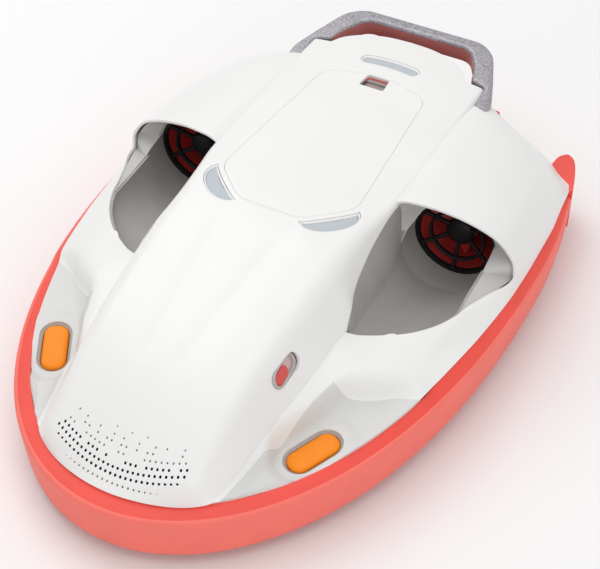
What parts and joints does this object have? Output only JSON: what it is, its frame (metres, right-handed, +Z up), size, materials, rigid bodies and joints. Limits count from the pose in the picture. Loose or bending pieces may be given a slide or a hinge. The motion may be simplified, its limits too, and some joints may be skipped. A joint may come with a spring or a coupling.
{
  "type": "underwater scooter",
  "caption": "Flat, kickboard-shaped underwater scooter with side jet ducts, grip buttons, a lidded battery bay and a stern carry handle.",
  "frame": {"origin": "centre of the bounding box's bottom face, on the floor under the rubber feet", "axes": "+X to the right, -Y towards the bow, +Y towards the stern and the carry handle, +Z up through the deck"},
  "size_m": [0.3561, 0.51, 0.128],
  "materials": {
    "shell_white": "smooth satin moulded plastic",
    "hull_coral": "satin moulded plastic",
    "bumper_coral": "soft overmoulded skin",
    "scoop_grey": "satin moulded plastic",
    "panel_red": "satin moulded plastic",
    "duct_red": "smooth moulded plastic",
    "nozzle_dark": "moulded plastic",
    "grille_black": "moulded plastic",
    "prop_red": "glass-filled moulded plastic",
    "steel": "ground stainless steel",
    "brass_orange": "turned",
    "copper_winding": "lacquered wire",
    "motor_alu": "turned",
    "button_orange": "smooth satin moulded plastic",
    "bezel_grey": "satin moulded plastic",
    "lock_grey": "satin moulded plastic",
    "lock_red": "smooth moulded plastic",
    "latch_mauve": "satin moulded plastic",
    "pad_blue_grey": "fine matt rubber",
    "frame_white": "smooth satin moulded plastic",
    "seal_black": "rubber",
    "feet_rubber": "rubber",
    "handle_metal": "fine speckled paint",
    "grip_coral": "soft rubber",
    "battery_dark": "moulded plastic",
    "bay_grey": "moulded plastic",
    "board_green": "laminate with moulded components"
  },
  "bodies": {
    "hull": {"battery_bay": "bay_grey", "battery_pack": "battery_dark", "button_bezel_left": "bezel_grey", "button_bezel_right": "bezel_grey", "button_spring_left": "steel", "button_spring_right": "steel", "button_switch_left": "nozzle_dark", "button_switch_right": "nozzle_dark", "carry_handle": "handle_metal", "controller_board": "board_green", "controller_case": "bay_grey", "cover_gasket": "seal_black", "deck_cover": "shell_white", "deck_pads": "pad_blue_grey", "duct_left": "duct_red", "duct_right": "duct_red", "handle_grip": "grip_coral", "handle_screws": "steel", "hull_gasket": "seal_black", "hull_screws": "steel", "intake_grille_left": "grille_black", "intake_grille_right": "grille_black", "intake_scoop_left": "scoop_grey", "intake_scoop_right": "scoop_grey", "jet_hood_left": "shell_white", "jet_hood_right": "shell_white", "jet_nozzle_left": "nozzle_dark", "jet_nozzle_right": "nozzle_dark", "lock_bezel": "lock_grey", "lower_hull": "hull_coral", "motor_bearings_left": "steel", "motor_bearings_right": "steel", "motor_can_left": "motor_alu", "motor_can_right": "motor_alu", "motor_windings_left": "copper_winding", "motor_windings_right": "copper_winding", "pad_frames": "frame_white", "rim_bumper": "bumper_coral", "rubber_feet": "feet_rubber", "side_deck_left": "shell_white", "side_deck_right": "shell_white", "stator_left": "duct_red", "stator_right": "duct_red", "stern_fairing": "hull_coral", "stern_panel_left": "panel_red", "stern_panel_right": "panel_red"},
    "cover": {"battery_cover": "shell_white", "latch_spring": "steel"},
    "latch": {"battery_latch": "latch_mauve"},
    "lock": {"lock_slider": "lock_red"},
    "impeller_right": {"propeller_right": "prop_red", "spinner_nut_right": "brass_orange", "drive_shaft_right": "steel", "motor_rotor_right": "steel"},
    "impeller_left": {"propeller_left": "prop_red", "spinner_nut_left": "brass_orange", "drive_shaft_left": "steel", "motor_rotor_left": "steel"},
    "button_right": {"grip_button_right": "button_orange"},
    "button_left": {"grip_button_left": "button_orange"}
  },
  "joints": [
    {"name": "propeller_right_spin", "type": "hinge", "parent": "hull", "child": "impeller_right", "pos_m": [0.1133, 0.1, 0.0785], "axis": [0, 1, 0], "continuous": true},
    {"name": "button_right_press", "type": "slide", "parent": "hull", "child": "button_right", "axis": [0.0662, 0.1224, -0.9903], "range_m": [0, 0.0025], "stiffness_N_per_m": 1200, "springref_m": -0.0015, "deforming": ["button_spring_right"]},
    {"name": "propeller_left_spin", "type": "hinge", "parent": "hull", "child": "impeller_left", "pos_m": [-0.1133, 0.1, 0.0785], "axis": [0, 1, 0], "continuous": true},
    {"name": "button_left_press", "type": "slide", "parent": "hull", "child": "button_left", "axis": [-0.0662, 0.1224, -0.9903], "range_m": [0, 0.0025], "stiffness_N_per_m": 1200, "springref_m": -0.0015, "deforming": ["button_spring_left"]},
    {"name": "lock_slide", "type": "slide", "parent": "hull", "child": "lock", "axis": [-0.0534, 0.9926, 0.1095], "range_m": [0, 0.009]},
    {"name": "cover_hinge", "type": "hinge", "parent": "hull", "child": "cover", "pos_m": [0, -0.0144, 0.1249], "axis": [1, 0, 0], "range_deg": [0, 75]},
    {"name": "latch_slide", "type": "slide", "parent": "cover", "child": "latch", "axis": [0, -1, 0], "range_m": [0, 0.004], "stiffness_N_per_m": 600, "springref_m": -0.002, "deforming": ["latch_spring"]}
  ]
}
